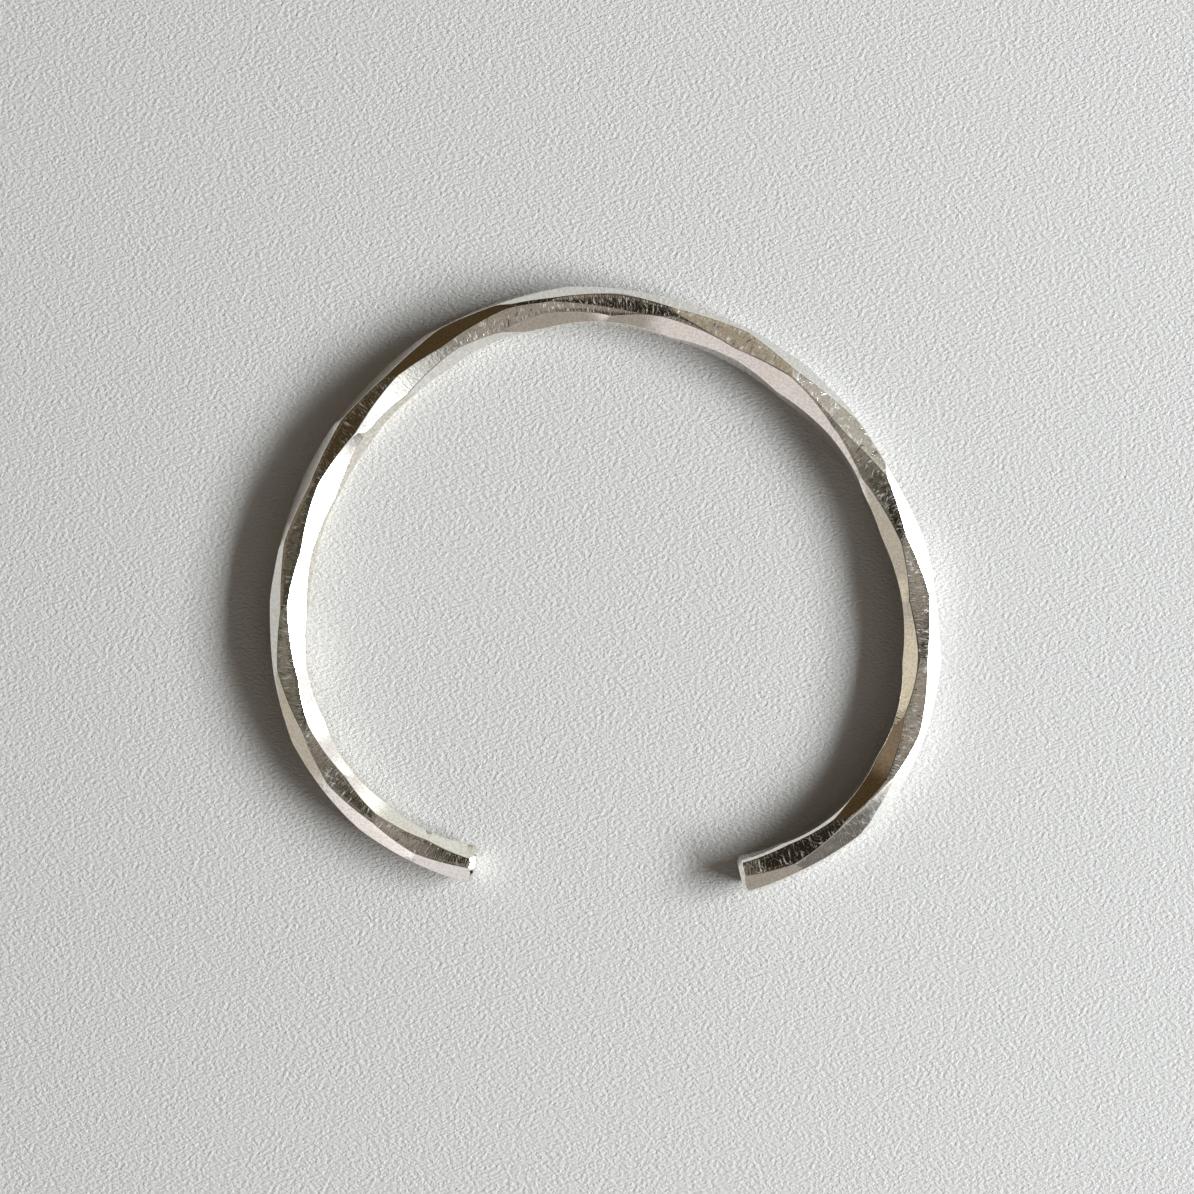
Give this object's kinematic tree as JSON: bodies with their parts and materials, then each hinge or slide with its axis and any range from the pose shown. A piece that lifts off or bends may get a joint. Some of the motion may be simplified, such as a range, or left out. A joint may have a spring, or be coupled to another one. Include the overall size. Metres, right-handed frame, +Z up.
{
  "type": "open bangle",
  "caption": "Open oval bangle for the wrist, one slim silver bar filed into long staggered flats, with blunt ends and a gap between them.",
  "frame": {"origin": "on the floor under the middle of the bangle's bounding box, as it lies on its side", "axes": "+Z up, square to the plane that the bangle is bent in; +X along the oval's wide way, across the opening; the opening between the two ends faces -Y"},
  "size_m": [0.0672, 0.0606, 0.004],
  "materials": {
    "silver": "satin filed silver, bright, with fine cross-wise file marks and a few small nicks"
  },
  "bodies": {
    "root": {"bangle": "silver"}
  },
  "joints": []
}
